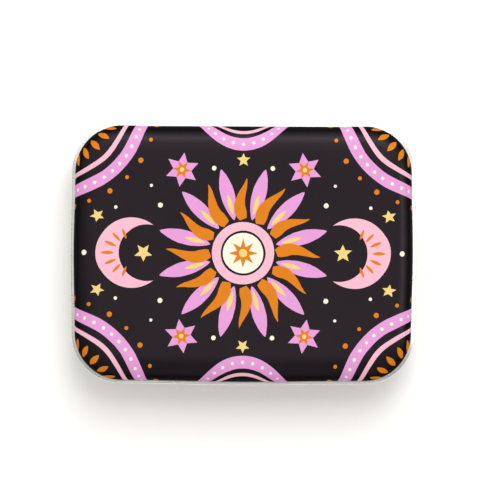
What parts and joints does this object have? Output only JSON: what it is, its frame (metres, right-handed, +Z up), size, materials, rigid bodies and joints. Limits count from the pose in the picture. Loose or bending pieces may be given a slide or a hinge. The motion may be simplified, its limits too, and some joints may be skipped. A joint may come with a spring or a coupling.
{
  "type": "hinged tin box",
  "caption": "Shallow hinged metal tin with rounded corners: a pressed lid with a rolled rim closes over a necked tray, for small keepsakes.",
  "frame": {"origin": "centre of the bounding box at the plane that the tin stands on", "axes": "+Z up, +X along the long side, hinge at the back (+Y), front at -Y"},
  "size_m": [0.1114, 0.0834, 0.028],
  "materials": {
    "lid_lacquer": "satin black lacquer with a printed top",
    "tinplate": "bright satin tinplate",
    "steel_wire": "drawn bright wire"
  },
  "bodies": {
    "tray": {"base_tray": "tinplate", "hinge_pin": "steel_wire"},
    "lid": {"lid": "lid_lacquer"}
  },
  "joints": [
    {"name": "lid_hinge", "type": "hinge", "parent": "tray", "child": "lid", "pos_m": [0, 0.04066, 0.016], "axis": [-1, 0, 0], "range_deg": [0, 105]}
  ]
}
